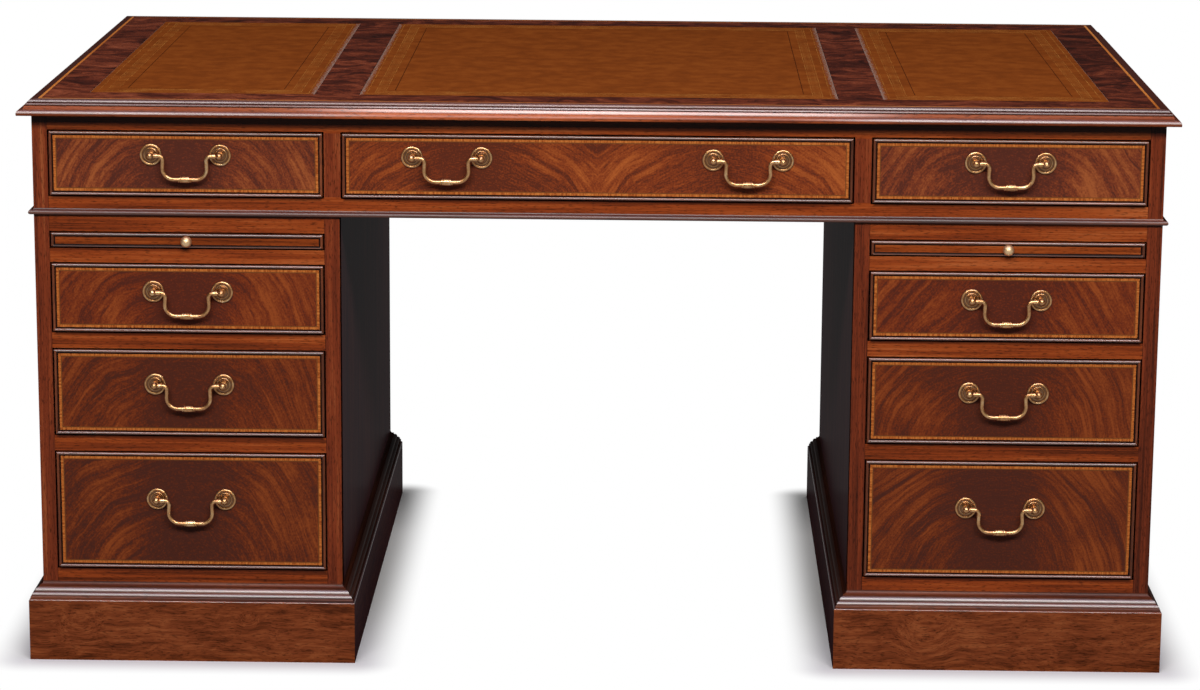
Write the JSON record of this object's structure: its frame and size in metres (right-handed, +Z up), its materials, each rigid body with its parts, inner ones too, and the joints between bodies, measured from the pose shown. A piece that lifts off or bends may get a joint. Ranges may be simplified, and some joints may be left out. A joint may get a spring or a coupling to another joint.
{
  "type": "pedestal desk",
  "caption": "Mahogany pedestal desk: moulded leather-lined top over a frieze of drawers and two drawer pedestals on plinths, with brushing slides and swinging brass bail handles.",
  "frame": {"origin": "on the floor, under the middle of the desk", "axes": "+X to the sitter's right, +Y to the back, +Z up"},
  "size_m": [1.524, 0.9144, 0.762],
  "materials": {
    "polished_mahogany": "french polished",
    "flame_mahogany": "french polished",
    "drawer_lining": "planed, waxed",
    "satinwood_string": "french polished",
    "tan_leather": "hand-coloured hide",
    "antique_brass": "aged, lacquered"
  },
  "bodies": {
    "desk": {"top_board": "polished_mahogany", "top_edge_moulding": "polished_mahogany", "top_stringing": "satinwood_string", "frieze_carcass": "polished_mahogany", "frieze_front_frame": "polished_mahogany", "frieze_bead_moulding": "polished_mahogany", "leather_left": "tan_leather", "leather_centre": "tan_leather", "leather_right": "tan_leather", "left_pedestal_case": "polished_mahogany", "left_pedestal_front_frame": "polished_mahogany", "left_pedestal_runners": "drawer_lining", "left_plinth": "polished_mahogany", "left_plinth_moulding": "polished_mahogany", "right_pedestal_case": "polished_mahogany", "right_pedestal_front_frame": "polished_mahogany", "right_pedestal_runners": "drawer_lining", "right_plinth": "polished_mahogany", "right_plinth_moulding": "polished_mahogany"},
    "frieze_left_drawer": {"frieze_left_drawer_front": "flame_mahogany", "frieze_left_drawer_box": "drawer_lining", "frieze_left_handle_posts": "antique_brass"},
    "frieze_centre_drawer": {"frieze_centre_drawer_front": "flame_mahogany", "frieze_centre_drawer_box": "drawer_lining", "frieze_centre_handle_posts": "antique_brass"},
    "frieze_right_drawer": {"frieze_right_drawer_front": "flame_mahogany", "frieze_right_drawer_box": "drawer_lining", "frieze_right_handle_posts": "antique_brass"},
    "left_upper_drawer": {"left_upper_drawer_front": "flame_mahogany", "left_upper_drawer_box": "drawer_lining", "left_upper_handle_posts": "antique_brass"},
    "left_middle_drawer": {"left_middle_drawer_front": "flame_mahogany", "left_middle_drawer_box": "drawer_lining", "left_middle_handle_posts": "antique_brass"},
    "left_lower_drawer": {"left_lower_drawer_front": "flame_mahogany", "left_lower_drawer_box": "drawer_lining", "left_lower_handle_posts": "antique_brass"},
    "right_upper_drawer": {"right_upper_drawer_front": "flame_mahogany", "right_upper_drawer_box": "drawer_lining", "right_upper_handle_posts": "antique_brass"},
    "right_middle_drawer": {"right_middle_drawer_front": "flame_mahogany", "right_middle_drawer_box": "drawer_lining", "right_middle_handle_posts": "antique_brass"},
    "right_lower_drawer": {"right_lower_drawer_front": "flame_mahogany", "right_lower_drawer_box": "drawer_lining", "right_lower_handle_posts": "antique_brass"},
    "left_brushing_slide": {"left_slide": "flame_mahogany", "left_slide_knob": "antique_brass"},
    "right_brushing_slide": {"right_slide": "flame_mahogany", "right_slide_knob": "antique_brass"},
    "frieze_left_bail": {"frieze_left_bail": "antique_brass"},
    "frieze_centre_left_bail": {"frieze_centre_left_bail": "antique_brass"},
    "frieze_centre_right_bail": {"frieze_centre_right_bail": "antique_brass"},
    "frieze_right_bail": {"frieze_right_bail": "antique_brass"},
    "left_upper_bail": {"left_upper_bail": "antique_brass"},
    "left_middle_bail": {"left_middle_bail": "antique_brass"},
    "left_lower_bail": {"left_lower_bail": "antique_brass"},
    "right_upper_bail": {"right_upper_bail": "antique_brass"},
    "right_middle_bail": {"right_middle_bail": "antique_brass"},
    "right_lower_bail": {"right_lower_bail": "antique_brass"}
  },
  "joints": [
    {"name": "frieze_left_drawer_pull", "type": "slide", "parent": "desk", "child": "frieze_left_drawer", "axis": [0, -1, 0], "range_m": [0, 0.45]},
    {"name": "frieze_centre_drawer_pull", "type": "slide", "parent": "desk", "child": "frieze_centre_drawer", "axis": [0, -1, 0], "range_m": [0, 0.45]},
    {"name": "frieze_right_drawer_pull", "type": "slide", "parent": "desk", "child": "frieze_right_drawer", "axis": [0, -1, 0], "range_m": [0, 0.45]},
    {"name": "left_upper_drawer_pull", "type": "slide", "parent": "desk", "child": "left_upper_drawer", "axis": [0, -1, 0], "range_m": [0, 0.45]},
    {"name": "left_middle_drawer_pull", "type": "slide", "parent": "desk", "child": "left_middle_drawer", "axis": [0, -1, 0], "range_m": [0, 0.45]},
    {"name": "left_lower_drawer_pull", "type": "slide", "parent": "desk", "child": "left_lower_drawer", "axis": [0, -1, 0], "range_m": [0, 0.45]},
    {"name": "right_upper_drawer_pull", "type": "slide", "parent": "desk", "child": "right_upper_drawer", "axis": [0, -1, 0], "range_m": [0, 0.45]},
    {"name": "right_middle_drawer_pull", "type": "slide", "parent": "desk", "child": "right_middle_drawer", "axis": [0, -1, 0], "range_m": [0, 0.45]},
    {"name": "right_lower_drawer_pull", "type": "slide", "parent": "desk", "child": "right_lower_drawer", "axis": [0, -1, 0], "range_m": [0, 0.45]},
    {"name": "left_brushing_slide_pull", "type": "slide", "parent": "desk", "child": "left_brushing_slide", "axis": [0, -1, 0], "range_m": [0, 0.3]},
    {"name": "right_brushing_slide_pull", "type": "slide", "parent": "desk", "child": "right_brushing_slide", "axis": [0, -1, 0], "range_m": [0, 0.3]},
    {"name": "frieze_left_bail_swing", "type": "hinge", "parent": "frieze_left_drawer", "child": "frieze_left_bail", "pos_m": [-0.54225, -0.4517, 0.68996], "axis": [-1, 0, 0], "range_deg": [-12, 150]},
    {"name": "frieze_centre_left_bail_swing", "type": "hinge", "parent": "frieze_centre_drawer", "child": "frieze_centre_left_bail", "pos_m": [-0.198, -0.4517, 0.68996], "axis": [-1, 0, 0], "range_deg": [-12, 150]},
    {"name": "frieze_centre_right_bail_swing", "type": "hinge", "parent": "frieze_centre_drawer", "child": "frieze_centre_right_bail", "pos_m": [0.198, -0.4517, 0.68996], "axis": [-1, 0, 0], "range_deg": [-12, 150]},
    {"name": "frieze_right_bail_swing", "type": "hinge", "parent": "frieze_right_drawer", "child": "frieze_right_bail", "pos_m": [0.54225, -0.4517, 0.68996], "axis": [-1, 0, 0], "range_deg": [-12, 150]},
    {"name": "left_upper_bail_swing", "type": "hinge", "parent": "left_upper_drawer", "child": "left_upper_bail", "pos_m": [-0.54225, -0.4517, 0.5063], "axis": [-1, 0, 0], "range_deg": [-12, 150]},
    {"name": "left_middle_bail_swing", "type": "hinge", "parent": "left_middle_drawer", "child": "left_middle_bail", "pos_m": [-0.54225, -0.4517, 0.38012], "axis": [-1, 0, 0], "range_deg": [-12, 150]},
    {"name": "left_lower_bail_swing", "type": "hinge", "parent": "left_lower_drawer", "child": "left_lower_bail", "pos_m": [-0.54225, -0.4517, 0.22198], "axis": [-1, 0, 0], "range_deg": [-12, 150]},
    {"name": "right_upper_bail_swing", "type": "hinge", "parent": "right_upper_drawer", "child": "right_upper_bail", "pos_m": [0.54225, -0.4517, 0.5063], "axis": [-1, 0, 0], "range_deg": [-12, 150]},
    {"name": "right_middle_bail_swing", "type": "hinge", "parent": "right_middle_drawer", "child": "right_middle_bail", "pos_m": [0.54225, -0.4517, 0.38012], "axis": [-1, 0, 0], "range_deg": [-12, 150]},
    {"name": "right_lower_bail_swing", "type": "hinge", "parent": "right_lower_drawer", "child": "right_lower_bail", "pos_m": [0.54225, -0.4517, 0.22198], "axis": [-1, 0, 0], "range_deg": [-12, 150]}
  ]
}
